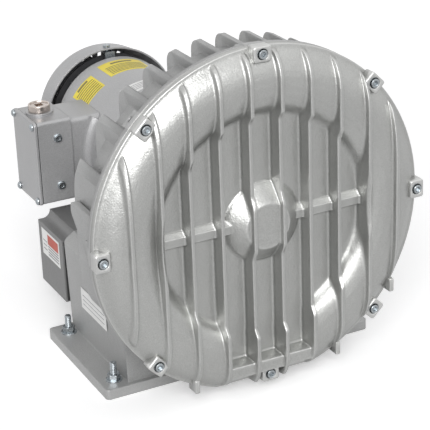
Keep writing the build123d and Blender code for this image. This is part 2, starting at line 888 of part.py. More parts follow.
with BuildPart() as impeller_key:
    with Locations((0, (impeller_front + impeller_back) / 2, axis_height + hub_bore_r)):
        Box(key_side, key_length - 0.2, key_side)
save(impeller_key.part, "impeller_key")

with BuildPart() as impeller:
    centre = (impeller_front + impeller_back) / 2
    with BuildSketch(facing(impeller_back)):
        with PolarLocations((blade_root_r - 6 + blade_tip_r) / 2, blade_count):
            Rectangle(blade_tip_r - blade_root_r + 6, blade_thickness)
    extrude(amount=impeller_width)
    with BuildSketch(axial):
        with BuildLine():
            Polyline(
                (centre - blade_web / 2, blade_tip_r - 4),
                (centre + blade_web / 2, blade_tip_r - 4),
                (centre + blade_web / 2, blade_root_r + 14),
            )
            ThreePointArc(
                (centre + blade_web / 2, blade_root_r + 14),
                (centre + blade_web / 2 + 5, blade_root_r + 4),
                (impeller_back, blade_root_r),
            )
            Polyline(
                (impeller_back, blade_root_r),
                (impeller_back, blade_root_r - 8),
                (centre + impeller_web / 2, blade_root_r - 14),
                (centre + impeller_web / 2, hub_r + 4),
                (impeller_back, hub_r),
                (impeller_back, hub_bore_r),
                (impeller_front, hub_bore_r),
                (impeller_front, hub_r),
                (centre - impeller_web / 2, hub_r + 4),
                (centre - impeller_web / 2, blade_root_r - 14),
                (impeller_front, blade_root_r - 8),
                (impeller_front, blade_root_r),
            )
            ThreePointArc(
                (impeller_front, blade_root_r),
                (centre - blade_web / 2 - 5, blade_root_r + 4),
                (centre - blade_web / 2, blade_root_r + 14),
            )
            Line((centre - blade_web / 2, blade_root_r + 14), (centre - blade_web / 2, blade_tip_r - 4))
        make_face()
    revolve(axis=spindle)
    with Locations((0, centre, axis_height + hub_bore_r)):
        Box(key_side + 2 * seat_gap, 2 * impeller_width, key_side + 2 * seat_gap, mode=Mode.SUBTRACT)
save(impeller.part, "impeller")

with BuildPart() as impeller_shims:
    add(ring(impeller_back + seat_gap, impeller_seat - seat_gap, hub_bore_r, hub_r - 10))
    revolve(axis=spindle)
save(impeller_shims.part, "impeller_shims")

with BuildPart() as impeller_washer:
    add(ring(impeller_front - 2.5, impeller_front - seat_gap, hub_bore_r - 1 + seat_gap, hub_r - 10))
    revolve(axis=spindle)
save(impeller_washer.part, "impeller_washer")

with BuildPart() as impeller_nut:
    with BuildSketch(facing(impeller_front - 2.5 - seat_gap)):
        RegularPolygon(nut_wide / 2, 6, major_radius=False)
        Circle(hub_bore_r - 1 + seat_gap, mode=Mode.SUBTRACT)
    extrude(amount=nut_h)
save(impeller_nut.part, "impeller_nut")

with BuildPart() as cooling_fan:
    add(turned([
        (fan_front + seat_gap, hub_bore_r),
        (fan_front + seat_gap, fan_hub_r),
        (fan_front + fan_disc_t, fan_hub_r),
        (fan_front + fan_disc_t, fan_r),
        (fan_front + 2 * fan_disc_t, fan_r),
        (fan_front + 2 * fan_disc_t, fan_hub_r),
        (fan_back, fan_hub_r),
        (fan_back, hub_bore_r),
    ]))
    revolve(axis=spindle)
    blade_inner = fan_hub_r - 3
    blade_outer = fan_r - 3
    with BuildSketch(facing(fan_back - 2)):
        with PolarLocations((blade_inner + blade_outer) / 2, fan_blades):
            Rectangle(blade_outer - blade_inner, fan_disc_t)
    extrude(amount=fan_back - fan_front - 2 - 1.5 * fan_disc_t)
save(cooling_fan.part, "cooling_fan")

# --- Fan cover with its grille, brackets and screws -------------------------
grille_rings = ((22, 12), (38, 18), (54, 26), (70, 34))
cover_screw_planes = [
    Plane(origin=(0, fan_cover_front + 7, axis_height), x_dir=(0, 1, 0), z_dir=direction).offset(fan_cover_r)
    for direction in ((0, 0, 1), (1, 0, 0), (0, 0, -1), (-1, 0, 0))
]
with BuildPart() as fan_cover:
    with BuildSketch(axial):
        with BuildLine():
            inner_r = fan_cover_r - fan_cover_wall
            Polyline(
                (fan_cover_front, inner_r),
                (fan_cover_front, fan_cover_r + 0.6),
                (fan_cover_front + 2.5, fan_cover_r),
                (fan_cover_back, fan_cover_r - 5),
                (fan_cover_back, 0),
                (fan_cover_back - fan_cover_wall, 0),
                (fan_cover_back - fan_cover_wall, inner_r - 5),
                close=True,
            )
        make_face()
        corner = vertices().group_by(Axis.X)[-1].sort_by(Axis.Y)[-1]
        fillet(corner, radius=16)
        inner_corner = vertices().sort_by_distance((fan_cover_back - fan_cover_wall, inner_r - 5))[0]
        fillet(inner_corner, radius=16 - fan_cover_wall)
    revolve(axis=spindle)
    with BuildSketch(facing(fan_cover_back)):
        for ring_r, slots in grille_rings:
            with PolarLocations(ring_r, slots):
                Rectangle(10, 5)
    extrude(amount=8, mode=Mode.SUBTRACT)
    for out in cover_screw_planes:
        with BuildSketch(out):
            Circle(m5_r + seat_gap)
        extrude(amount=-8, mode=Mode.SUBTRACT)
save(fan_cover.part, "fan_cover")

bracket_width = 13.0
bracket_t = 2.0
with BuildPart() as fan_cover_brackets:
    bracket_r = fan_cover_r - fan_cover_wall - 1.9
    bracket_back = fan_cover_front + 12
    bracket_foot = motor_back + 0.3
    with BuildSketch(facing(bracket_back)):
        with PolarLocations(bracket_r - bracket_t / 2, 4):
            Rectangle(bracket_t, bracket_width)
    extrude(amount=bracket_back - bracket_foot)
    with BuildSketch(facing(bracket_foot + bracket_t)):
        with PolarLocations(bracket_r - 13, 4):
            Rectangle(26, bracket_width)
    extrude(amount=bracket_t)
    for out in cover_screw_planes:
        with BuildSketch(out):
            Circle(m5_r + seat_gap)
        extrude(amount=-12, mode=Mode.SUBTRACT)
save(fan_cover_brackets.part, "fan_cover_brackets")

with BuildPart() as fan_cover_screws:
    for out in cover_screw_planes:
        with BuildSketch(out.offset(0.2)):
            Circle(m5_head_r)
        extrude(amount=m5_head_h)
        with BuildSketch(out.offset(0.2)):
            Circle(m5_r)
        extrude(amount=-8)
save(fan_cover_screws.part, "fan_cover_screws")

# --- Conduit box on the side of the motor -----------------------------------
box_back = conduit_front + conduit_depth
box_mid_y = (conduit_front + box_back) / 2
box_mid_z = axis_height + (conduit_low + conduit_high) / 2
box_tall = conduit_high - conduit_low
lid_x = -conduit_reach
box_screw_spots = [(box_screw_x, drop) for drop in box_screw_drops]


def side_plane(x):
    """Upright plane at x: local x is +Y, local y is +Z, normal is +X."""
    return Plane(origin=(x, box_mid_y, box_mid_z), x_dir=(0, 1, 0), z_dir=(1, 0, 0))


with BuildPart() as conduit_base:
    with BuildSketch(side_plane(-base_x)):
        with Locations((0, (base_high + base_low) / 2 - (conduit_high + conduit_low) / 2)):
            RectangleRounded(conduit_depth - 4, base_high - base_low, 6)
            RectangleRounded(conduit_depth - 4 - 2 * conduit_wall, base_high - base_low - 14, 4, mode=Mode.SUBTRACT)
    extrude(amount=base_x)
    with BuildSketch(facing(box_back)):
        Circle(motor_r + seat_gap)
    extrude(amount=conduit_depth, mode=Mode.SUBTRACT)
    with BuildSketch(Plane.XY.offset(axis_height - motor_r)):
        with Locations((0, box_mid_y)):
            Rectangle(2 * 55, 2 * conduit_depth)
    extrude(amount=2 * motor_r, mode=Mode.SUBTRACT)
save(conduit_base.part, "conduit_base")

screw_y = conduit_depth / 2 - 4.6
screw_z = box_tall / 2 - 4.6
with BuildPart() as conduit_box:
    with BuildSketch(side_plane(lid_x + lid_thickness + lid_gasket)):
        RectangleRounded(conduit_depth, box_tall, 4)
    extrude(amount=conduit_reach - lid_thickness - lid_gasket - base_x)
    with BuildSketch(side_plane(lid_x + lid_thickness + lid_gasket)):
        RectangleRounded(conduit_depth - 2 * conduit_wall, box_tall - 2 * conduit_wall, 3)
    extrude(amount=conduit_reach - lid_thickness - lid_gasket - base_x - conduit_wall, mode=Mode.SUBTRACT)
    with BuildSketch(side_plane(lid_x + lid_thickness + lid_gasket)):
        with GridLocations(2 * screw_y, 2 * screw_z, 2, 2):
            Circle(5.5)
        RectangleRounded(conduit_depth, box_tall, 4, mode=Mode.INTERSECT)
    extrude(amount=20)
    with BuildSketch(side_plane(lid_x + lid_thickness + lid_gasket)):
        with GridLocations(2 * screw_y, 2 * screw_z, 2, 2):
            Circle(lid_screw_r + seat_gap)
    extrude(amount=16, mode=Mode.SUBTRACT)
    # Wire way into the motor, plugged hub on top, open cable entry behind
    with BuildSketch(side_plane(-base_x)):
        Circle(16)
    extrude(amount=-2 * conduit_wall, mode=Mode.SUBTRACT)
    with BuildSketch(Plane.XY.offset(axis_height + conduit_high)):
        with Locations((plug_x, plug_y)):
            Circle(plug_r + 2.5)
    extrude(amount=hub_rise)
    with BuildSketch(Plane.XY.offset(axis_height + conduit_high + hub_rise)):
        with Locations((plug_x, plug_y)):
            Circle(entry_r)
    extrude(amount=-(hub_rise + 2 * conduit_wall), mode=Mode.SUBTRACT)
    with BuildSketch(facing(box_back)):
        with Locations((entry_x, entry_drop)):
            Circle(entry_r + wall / 2)
    extrude(amount=entry_depth)
    with BuildSketch(facing(box_back)):
        with Locations((entry_x, entry_drop)):
            Circle(entry_r)
    extrude(amount=entry_depth + 1, mode=Mode.SUBTRACT)
    with BuildSketch(facing(conduit_front)):
        with Locations(*box_screw_spots):
            Circle(box_screw_r + seat_gap)
    extrude(amount=-conduit_wall, mode=Mode.SUBTRACT)
save(conduit_box.part, "conduit_box")

with BuildPart() as conduit_box_screws:
    with BuildSketch(facing(conduit_front)):
        with Locations(*box_screw_spots):
            Circle(box_screw_head_r)
    extrude(amount=box_screw_head_h)
    with BuildSketch(facing(conduit_front)):
        with Locations(*box_screw_spots):
            Circle(box_screw_r)
    extrude(amount=-2 * conduit_wall)
save(conduit_box_screws.part, "conduit_box_screws")

with BuildPart() as conduit_gasket:
    with BuildSketch(side_plane(lid_x + lid_thickness)):
        RectangleRounded(conduit_depth, box_tall, 4)
        RectangleRounded(conduit_depth - 22, box_tall - 22, 3, mode=Mode.SUBTRACT)
        with GridLocations(2 * screw_y, 2 * screw_z, 2, 2):
            Circle(lid_screw_r + 0.3, mode=Mode.SUBTRACT)
    extrude(amount=lid_gasket)
save(conduit_gasket.part, "conduit_gasket")

with BuildPart() as conduit_lid:
    with BuildSketch(side_plane(lid_x)):
        RectangleRounded(conduit_depth + 1.6, box_tall + 1.6, 5)
    extrude(amount=lid_thickness)
    fillet(conduit_lid.faces().sort_by(Axis.X)[0].edges(), radius=1.8)
    with BuildSketch(side_plane(lid_x)):
        with GridLocations(2 * screw_y, 2 * screw_z, 2, 2):
            Circle(lid_screw_r + 0.3)
    extrude(amount=lid_thickness, mode=Mode.SUBTRACT)
save(conduit_lid.part, "conduit_lid")

with BuildPart() as conduit_lid_screws:
    with BuildSketch(side_plane(lid_x)):
        with GridLocations(2 * screw_y, 2 * screw_z, 2, 2):
            Circle(m5_head_r)
    extrude(amount=-m5_head_h)
    with BuildSketch(side_plane(lid_x)):
        with GridLocations(2 * screw_y, 2 * screw_z, 2, 2):
            Circle(lid_screw_r)
    extrude(amount=lid_thickness + lid_gasket + 14)
save(conduit_lid_screws.part, "conduit_lid_screws")

with BuildPart() as conduit_plug:
    with BuildSketch(Plane.XY.offset(axis_height + conduit_high + hub_rise)):
        with Locations((plug_x, plug_y)):
            Circle(plug_r)
    extrude(amount=4)
    with BuildSketch(Plane.XY.offset(axis_height + conduit_high + hub_rise)):
        with Locations((plug_x, plug_y)):
            Circle(entry_r - seat_gap)
    extrude(amount=-(hub_rise + conduit_wall))
    with BuildSketch(Plane.XY.offset(axis_height + conduit_high + hub_rise + 4)):
        with Locations((plug_x, plug_y)):
            Rectangle(8, 8)
    extrude(amount=-4, mode=Mode.SUBTRACT)
save(conduit_plug.part, "conduit_plug")
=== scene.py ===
import bpy
import bmesh
import numpy as np
from math import cos, pi, radians, sin, sqrt
from mathutils import Matrix, Vector


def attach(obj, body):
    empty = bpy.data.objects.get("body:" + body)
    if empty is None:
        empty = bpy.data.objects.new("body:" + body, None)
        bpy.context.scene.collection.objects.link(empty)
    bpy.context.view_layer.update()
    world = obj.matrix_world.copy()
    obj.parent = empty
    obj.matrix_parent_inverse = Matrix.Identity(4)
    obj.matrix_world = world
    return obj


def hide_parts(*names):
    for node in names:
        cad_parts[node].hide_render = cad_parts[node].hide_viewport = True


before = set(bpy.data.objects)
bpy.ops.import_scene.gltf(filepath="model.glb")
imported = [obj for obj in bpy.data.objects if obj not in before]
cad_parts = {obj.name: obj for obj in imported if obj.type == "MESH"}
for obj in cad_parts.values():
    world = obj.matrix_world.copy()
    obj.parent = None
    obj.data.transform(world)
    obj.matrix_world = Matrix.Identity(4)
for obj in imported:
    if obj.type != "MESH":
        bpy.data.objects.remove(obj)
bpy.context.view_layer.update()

# --- Stage: camera, lights and floor -----------------------------------------
# A plain soft studio with a pale floor. The camera looks down a little from
# the left of the cover, with a long lens.
MM = 0.001
AXIS_Z = 200.0
FLOOR_GLOW = 0.32
scene = bpy.context.scene
scene.view_settings.view_transform = "Standard"

turn, rise, roll = radians(-25.51), radians(22.85), radians(-2.49)
right = Vector((cos(turn), sin(turn), 0))
back = Vector((sin(turn) * cos(rise), -cos(turn) * cos(rise), sin(rise)))
over = back.cross(right)
tilted_right = cos(roll) * right + sin(roll) * over
tilted_over = -sin(roll) * right + cos(roll) * over
lens_px, frame_px = 1590.1, 430.0
stand = back * 1696.0 + tilted_right * -71.8 + tilted_over * 22.4 + Vector((0, -156, AXIS_Z))
camera = bpy.data.objects.new("camera", bpy.data.cameras.new("camera"))
camera.data.sensor_width = 36.0
camera.data.lens = 36.0 * lens_px / frame_px
camera.data.shift_x = (215.0 - 199.1) / frame_px
camera.data.shift_y = -(215.0 - 203.5) / frame_px
camera.data.clip_start = 0.05
camera.matrix_world = Matrix((
    (tilted_right.x, tilted_over.x, back.x, stand.x * MM),
    (tilted_right.y, tilted_over.y, back.y, stand.y * MM),
    (tilted_right.z, tilted_over.z, back.z, stand.z * MM),
    (0, 0, 0, 1),
))
scene.collection.objects.link(camera)
scene.camera = camera


def soft_sun(name, towards, strength, wide):
    """A very wide sun stands for a large soft box; towards points from the object to it."""
    lamp = bpy.data.lights.new(name, "SUN")
    lamp.energy = strength
    lamp.angle = radians(wide)
    holder = bpy.data.objects.new(name, lamp)
    holder.rotation_mode = "QUATERNION"
    holder.rotation_quaternion = Vector(towards).to_track_quat("Z", "Y")
    scene.collection.objects.link(holder)


soft_sun("key", (-0.42, -0.76, 0.52), 2.45, 44)
soft_sun("overhead", (0.30, -0.10, 0.95), 0.25, 60)

world = bpy.data.worlds.new("room")
scene.world = world
world.use_nodes = True
room = world.node_tree
room.nodes["Background"].inputs["Color"].default_value = (0.34, 0.34, 0.345, 1)
white_wall = room.nodes.new("ShaderNodeBackground")
white_wall.inputs["Color"].default_value = (1, 1, 1, 1)
rays = room.nodes.new("ShaderNodeLightPath").outputs
seen = room.nodes.new("ShaderNodeMath")
seen.operation = "MAXIMUM"
seen_in_gloss = room.nodes.new("ShaderNodeMath")
seen_in_gloss.operation = "MAXIMUM"
room.links.new(rays["Is Glossy Ray"], seen_in_gloss.inputs[0])
room.links.new(rays["Is Transmission Ray"], seen_in_gloss.inputs[1])
room.links.new(rays["Is Camera Ray"], seen.inputs[0])
room.links.new(seen_in_gloss.outputs[0], seen.inputs[1])
shown = room.nodes.new("ShaderNodeMixShader")
room.links.new(seen.outputs[0], shown.inputs[0])
room.links.new(room.nodes["Background"].outputs[0], shown.inputs[1])
room.links.new(white_wall.outputs[0], shown.inputs[2])
room.links.new(shown.outputs[0], room.nodes["World Output"].inputs["Surface"])


def material(name):
    """A new node material with its shader and its object coordinates."""
    made = bpy.data.materials.new(name)
    made.use_nodes = True
    tree = made.node_tree
    shader = tree.nodes["Principled BSDF"]
    places = tree.nodes.new("ShaderNodeTexCoord").outputs["Object"]
    return made, tree, shader, places


def noise(tree, places, scale, detail=2.0, rough=0.5):
    node = tree.nodes.new("ShaderNodeTexNoise")
    node.inputs["Scale"].default_value = scale
    node.inputs["Detail"].default_value = detail
    node.inputs["Roughness"].default_value = rough
    tree.links.new(places, node.inputs["Vector"])
    return node.outputs["Fac"]


def ramp(tree, value, stops):
    node = tree.nodes.new("ShaderNodeValToRGB")
    band = node.color_ramp
    while len(band.elements) < len(stops):
        band.elements.new(0.5)
    for element, (at, colour) in zip(band.elements, stops):
        element.position = at
        element.color = (*colour, 1) if len(colour) == 3 else colour
    tree.links.new(value, node.inputs["Fac"])
    return node.outputs["Color"]


floor_paint, tree, shader, places = material("floor_paint")
shader.inputs["Roughness"].default_value = 0.9
shader.inputs["Specular IOR Level"].default_value = 0.1
tree.links.new(ramp(tree, noise(tree, places, 3.0), [(0.0, (0.90, 0.90, 0.90)), (1.0, (0.93, 0.93, 0.93))]),
               shader.inputs["Base Color"])
paper_seen = tree.nodes.new("ShaderNodeLightPath").outputs
paper_lift = tree.nodes.new("ShaderNodeMath")
paper_lift.operation = "MAXIMUM"
tree.links.new(paper_seen["Is Camera Ray"], paper_lift.inputs[0])
tree.links.new(paper_seen["Is Transmission Ray"], paper_lift.inputs[1])
paper_glow = tree.nodes.new("ShaderNodeMath")
paper_glow.operation = "MULTIPLY"
paper_glow.inputs[1].default_value = FLOOR_GLOW
tree.links.new(paper_lift.outputs[0], paper_glow.inputs[0])
shader.inputs["Emission Color"].default_value = (1, 1, 1, 1)
tree.links.new(paper_glow.outputs[0], shader.inputs["Emission Strength"])
floor_mesh = bmesh.new()
bmesh.ops.create_circle(floor_mesh, cap_ends=True, radius=12.0, segments=96)
floor = bpy.data.objects.new("floor", bpy.data.meshes.new("floor"))
floor_mesh.to_mesh(floor.data)
floor_mesh.free()
floor.data.materials.append(floor_paint)
scene.collection.objects.link(floor)


# --- Finishes ----------------------------------------------------------------
# The castings and the motor have one coat of aluminium lacquer, sprayed on,
# with an orange peel skin. Fasteners are zinc plated; seals are black rubber.
def skin_group():
    """Sprayed lacquer: fine peel, coarse unevenness, edges lightened by rubbed paint and painted highlight, hollows
    darkened by painted shade.
    """
    group = bpy.data.node_groups.new("sprayed_skin", "ShaderNodeTree")
    for name, kind, direction in (
        ("Places", "NodeSocketVector", "INPUT"),
        ("Base", "NodeSocketColor", "INPUT"),
        ("Peel", "NodeSocketFloat", "INPUT"),
        ("Rough", "NodeSocketFloat", "INPUT"),
        ("Wear_and_painted_light", "NodeSocketFloat", "INPUT"),
        ("Colour", "NodeSocketColor", "OUTPUT"),
        ("Roughness", "NodeSocketFloat", "OUTPUT"),
        ("Height", "NodeSocketFloat", "OUTPUT"),
    ):
        group.interface.new_socket(name=name, in_out=direction, socket_type=kind)
    into = group.nodes.new("NodeGroupInput").outputs
    out = group.nodes.new("NodeGroupOutput").inputs
    link = group.links.new
    peel = noise(group, into["Places"], 520.0, 2.0, 0.55)
    lumps = noise(group, into["Places"], 70.0, 3.0, 0.6)
    cloud = noise(group, into["Places"], 9.0, 3.0, 0.6)
    grain = noise(group, into["Places"], 1400.0, 1.0, 0.5)

    def maths(kind, a, b):
        node = group.nodes.new("ShaderNodeMath")
        node.operation = kind
        for socket, value in zip(node.inputs, (a, b)):
            if isinstance(value, (int, float)):
                socket.default_value = value
            else:
                link(value, socket)
        return node.outputs[0]

    def mix(kind, factor, a, b):
        node = group.nodes.new("ShaderNodeMix")
        node.data_type = "RGBA"
        node.blend_type = kind
        for socket, value in zip((node.inputs[0], node.inputs[6], node.inputs[7]), (factor, a, b)):
            if isinstance(value, (int, float)):
                socket.default_value = value
            elif isinstance(value, tuple):
                socket.default_value = (*value, 1)
            else:
                link(value, socket)
        return node.outputs[2]

    curvature = group.nodes.new("ShaderNodeNewGeometry").outputs["Pointiness"]
    # Convex edges and crests: rubbed paint and a painted highlight, lighter grey.
    edges = ramp(group, curvature, [(0.50, (0, 0, 0)), (0.56, (1, 1, 1))])
    # Concave roots and creases: painted shade.
    hollow = ramp(group, curvature, [(0.43, (1, 1, 1)), (0.49, (0, 0, 0))])
    tint = ramp(group, cloud, [(0.25, (0.93, 0.93, 0.93)), (0.75, (1.05, 1.05, 1.05))])
    flakes = ramp(group, grain, [(0.35, (0.88, 0.88, 0.88)), (0.65, (1.12, 1.12, 1.12))])
    colour = mix("MULTIPLY", 1.0, into["Base"], tint)
    colour = mix("MULTIPLY", 1.0, colour, flakes)
    # Painted highlight with rubbed paint: edges mixed towards light grey by the wear amount.
    colour = mix("MIX", maths("MULTIPLY", edges, into["Wear_and_painted_light"]), colour, (0.78, 0.78, 0.77))
    # Painted shade: hollows mixed towards near black, also where nothing is worn.
    colour = mix("MIX", maths("MULTIPLY", hollow, maths("ADD", into["Wear_and_painted_light"], 0.2)), colour, (0.12, 0.12, 0.115))
    link(colour, out["Colour"])
    rough = maths("ADD", into["Rough"], maths("MULTIPLY", maths("SUBTRACT", cloud, 0.5), 0.12))
    link(maths("ADD", rough, maths("MULTIPLY", maths("SUBTRACT", grain, 0.5), 0.08)), out["Roughness"])
    height = maths("MULTIPLY", maths("ADD", peel, maths("MULTIPLY", lumps, 2.2)), into["Peel"])
    link(height, out["Height"])
    return group


SKIN = skin_group()


# The wear amount lightens edges (rubbed paint and painted highlight) and darkens hollows (painted shade).
def lacquer(name, base, rough, metal, peel, wear_and_painted_light=0.5, depth=0.00022, soft_edge=0.0):
    made, tree, shader, places = material(name)
    skin = tree.nodes.new("ShaderNodeGroup")
    skin.node_tree = SKIN
    tree.links.new(places, skin.inputs["Places"])
    skin.inputs["Base"].default_value = (*base, 1)
    skin.inputs["Peel"].default_value = peel
    skin.inputs["Rough"].default_value = rough
    skin.inputs["Wear_and_painted_light"].default_value = wear_and_painted_light
    tree.links.new(skin.outputs["Colour"], shader.inputs["Base Color"])
    tree.links.new(skin.outputs["Roughness"], shader.inputs["Roughness"])
    bump = tree.nodes.new("ShaderNodeBump")
    bump.inputs["Strength"].default_value = 1.0
    bump.inputs["Distance"].default_value = depth
    tree.links.new(skin.outputs["Height"], bump.inputs["Height"])
    if soft_edge:
        rounding = tree.nodes.new("ShaderNodeBevel")
        rounding.samples = 6
        rounding.inputs["Radius"].default_value = soft_edge
        tree.links.new(rounding.outputs["Normal"], bump.inputs["Normal"])
    tree.links.new(bump.outputs["Normal"], shader.inputs["Normal"])
    shader.inputs["Metallic"].default_value = metal
    shader.inputs["Coat Weight"].default_value = 0.15
    shader.inputs["Coat Roughness"].default_value = 0.2
    return made


cover_skin = lacquer("cover_lacquer", (0.45, 0.453, 0.442), 0.39, 0.92, 1.2)
housing_skin = lacquer("housing_lacquer", (0.38, 0.382, 0.38), 0.44, 0.5, 1.6, 0.12, soft_edge=0.0025)
# The muffler box gets a darker copy of the same lacquer: painted shade under the motor.
shaded_muffler_skin = lacquer("muffler_lacquer_shaded", (0.20, 0.20, 0.20), 0.48, 0.4, 1.0, 0.04, soft_edge=0.0015)
motor_skin = lacquer("motor_enamel", (0.38, 0.38, 0.385), 0.38, 0.4, 0.8, 0.08, soft_edge=0.0012)


def plain(name, base, rough, metal, spread=0.1, grain=600.0, depth=0.00005, soft_edge=0.0004):
    """A small part's finish: mottled colour and a fine grain in the surface."""
    made, tree, shader, places = material(name)
    low = tuple(c * (1 - spread) for c in base)
    high = tuple(min(1.0, c * (1 + spread)) for c in base)
    tree.links.new(ramp(tree, noise(tree, places, grain / 4, 3.0), [(0.3, low), (0.7, high)]),
                   shader.inputs["Base Color"])
    tree.links.new(ramp(tree, noise(tree, places, grain / 2), [(0.2, (rough * 0.8,) * 3), (0.8, (rough * 1.2,) * 3)]),
                   shader.inputs["Roughness"])
    bump = tree.nodes.new("ShaderNodeBump")
    bump.inputs["Distance"].default_value = depth
    tree.links.new(noise(tree, places, grain), bump.inputs["Height"])
    if soft_edge:
        rounding = tree.nodes.new("ShaderNodeBevel")
        rounding.samples = 4
        rounding.inputs["Radius"].default_value = soft_edge
        tree.links.new(rounding.outputs["Normal"], bump.inputs["Normal"])
    tree.links.new(bump.outputs["Normal"], shader.inputs["Normal"])
    shader.inputs["Metallic"].default_value = metal
    return made


zinc = plain("zinc_plate", (0.40, 0.43, 0.45), 0.27, 1.0)
dark_zinc = plain("black_zinc", (0.10, 0.10, 0.105), 0.38, 0.7)
ground_steel = plain("ground_steel", (0.55, 0.55, 0.55), 0.25, 1.0)
lamination = plain("lamination", (0.12, 0.12, 0.13), 0.5, 0.8)
copper = plain("varnished_copper", (0.42, 0.16, 0.06), 0.35, 0.8)
rubber = plain("black_rubber", (0.025, 0.025, 0.025), 0.7, 0.0)
foam = plain("black_foam", (0.04, 0.04, 0.04), 0.95, 0.0, 0.4, 300.0, 0.001)
fan_plastic = plain("fan_plastic", (0.03, 0.03, 0.032), 0.5, 0.0)
impeller_skin = plain("impeller_casting", (0.6, 0.6, 0.6), 0.35, 0.9)
plug_skin = plain("plug_metal", (0.56, 0.50, 0.46), 0.24, 1.0)


def dress(finish, *nodes):
    """Gives CAD nodes whose shape is right their finish."""
    for name in nodes:
        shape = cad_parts[name]
        shape.data.materials.clear()
        shape.data.materials.append(finish)


dress(housing_skin, "rear_housing", "drive_end_bell", "rear_end_bell")
dress(shaded_muffler_skin, "muffler_box")
dress(motor_skin, "motor_shell", "fan_cover", "conduit_base", "conduit_box", "conduit_lid")
dress(zinc, "motor_mount_screws", "through_bolts", "fan_cover_brackets", "fan_cover_screws",
      "impeller_washer", "impeller_nut")
dress(dark_zinc, "cover_washers")
dress(rubber, "muffler_gasket", "conduit_gasket", "shaft_seal")
dress(foam, "inlet_foam", "outlet_foam")
dress(ground_steel, "motor_shaft", "drive_bearing_inner", "drive_bearing_outer", "rear_bearing_inner",
      "rear_bearing_outer", "impeller_key", "impeller_shims")
dress(lamination, "stator_core", "rotor_core")
dress(copper, "stator_windings")
dress(fan_plastic, "cooling_fan")
dress(impeller_skin, "impeller")


# --- Front cover -------------------------------------------------------------
# One sand casting: ten upright ribs run over the channel bulge, the recessed
# disc and the boss, and a bar ties them across. Corners and roots are rounded.
PARTING = -138.0
FLANGE_R = 196.0
RIM_ROUND = 1.2
DISC = 5.5
RIB_PITCH = 35.5
RIB_END = 191.0
RIB_HALF = 2.3
DISC_CREST = 22.0
BOSS_TOP = 17.5
ribs = [(i - 4.5) * RIB_PITCH for i in range(10)]
STRIPPER = abs(ribs[3])


def add_mesh(name, points, faces, finish, body, replaced=(), smooth=True):
    """Makes a piece from points in mm, gives it its finish and lets it ride a body."""
    shape = bpy.data.meshes.new(name)
    shape.from_pydata([(x * MM, y * MM, z * MM) for x, y, z in points], [], faces)
    shape.materials.append(finish)
    shape.polygons.foreach_set("use_smooth", [smooth] * len(shape.polygons))
    piece = bpy.data.objects.new(name, shape)
    scene.collection.objects.link(piece)
    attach(piece, body)
    if replaced:
        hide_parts(*replaced)
    return piece


def raised(outside, rise, lean, crown, hollow):
    """Height of a cast pad or rib at a distance outside its top edge."""
    crown = np.minimum(crown, rise * 0.45)
    hollow = np.minimum(hollow, rise * 0.45)
    lean = np.maximum(lean, 0.05) + 0 * rise
    arc_top = rise - crown + np.sqrt(np.maximum(crown**2 - np.clip(outside + crown, 0, crown) ** 2, 0))
    wall = (rise - crown) + (hollow - rise + crown) * np.clip(outside / lean, 0, 1)
    past = np.clip(outside - lean, 0, None)
    root = hollow - np.sqrt(np.maximum(hollow**2 - np.clip(hollow - past, 0, hollow) ** 2, 0))
    return np.where(outside <= 0, arc_top, np.where(outside <= lean, wall, root))


def rim_distance(x, z):
    """Distance outside the outline: a round rim, flattened at the foot."""
    flat = np.where(np.abs(x) < 2.5 * RIB_PITCH - 5.0, -186.0 - z, -1e3)
    return np.maximum(np.hypot(x, z) - FLANGE_R, flat)


def bulge(r):
    """Section of the channel bulge out to the flange, height over the parting face."""
    at = [0, 120, 122.5, 124.5, 126.5, 129, 132.5, 138, 146, 156, 165, 172, 178, 183, 187, 190, 192.5, 200]
    up = [5.5, 5.5, 6.2, 8.2, 11.4, 14.8, 17.8, 20.4, 22.4, 23.0, 22.6, 21.2, 18.8, 15.7, 12.4, 9.6, 7.6, 7.0]
    fine = np.arange(0, 205, 0.5)
    line = np.interp(fine, at, up)
    soft = np.convolve(np.pad(line, 4, "edge"), np.ones(9) / 9, "valid")
    return np.interp(r, fine, soft)


def cover_base(x, z):
    """Height of the cover between its ribs."""
    r = np.hypot(x, z)
    cut = (np.abs(x) < STRIPPER) & (z < -100)
    height = np.where(cut, np.where(z < -174, 7.0, DISC), bulge(r))
    tall, slim = BOSS_TOP + 0 * r, 6.5 + 0 * r
    boss = DISC + raised(r - 26.5, tall, 17.5, 0.7, 2.5)
    bar = DISC + np.minimum(raised(z - 5.5, slim, 4.5, 1.0, 1.5),
                            raised(-5.0 - z, slim, 0.8, 1.0, 2.0))
    ledge = DISC + np.minimum(raised(z + 159.5, tall, 1.5, 1.5, 3.0),
                              raised(-174.0 - z, tall, 1.0, 1.5, 3.0))
    height = np.maximum(height, np.where(r < 130, np.maximum(boss, bar), 0))
    height = np.maximum(height, np.where(cut, ledge, 0))
    return height


def rib_crest(x, z):
    """Height of the rib crests: low over the disc, high over bulge and boss."""
    r = np.hypot(x, z)
    step = np.clip((r - 119.0) / 11.0, 0, 1)
    high = DISC_CREST + 6.5 * step * step * (3 - 2 * step)
    near = np.clip((42.0 - r) / 14.0, 0, 1)
    high = np.maximum(high, DISC_CREST + 6.0 * near * near * (3 - 2 * near))
    high = np.where(r > 158, np.minimum(high, bulge(r) + 5.8), high)
    end = np.clip((RIB_END - r) / 6.0, 0, 1)
    return np.where(r > RIB_END - 6.0, bulge(r) + (high - bulge(r)) * np.sqrt(1 - (1 - end) ** 2), high)


def cover_height(x, z):
    """Height of the whole cover, ribs included."""
    base = cover_base(x, z)
    crest = rib_crest(x, z)
    height = base
    for rib in ribs:
        aside = np.abs(x - rib) - RIB_HALF
        rise = np.maximum(crest - base, 0)
        with_rib = base + raised(aside, rise, 1.6 * rise / 17.0, 1.4, 3.2)
        height = np.where(aside < 12, np.maximum(height, with_rib), height)
    return height


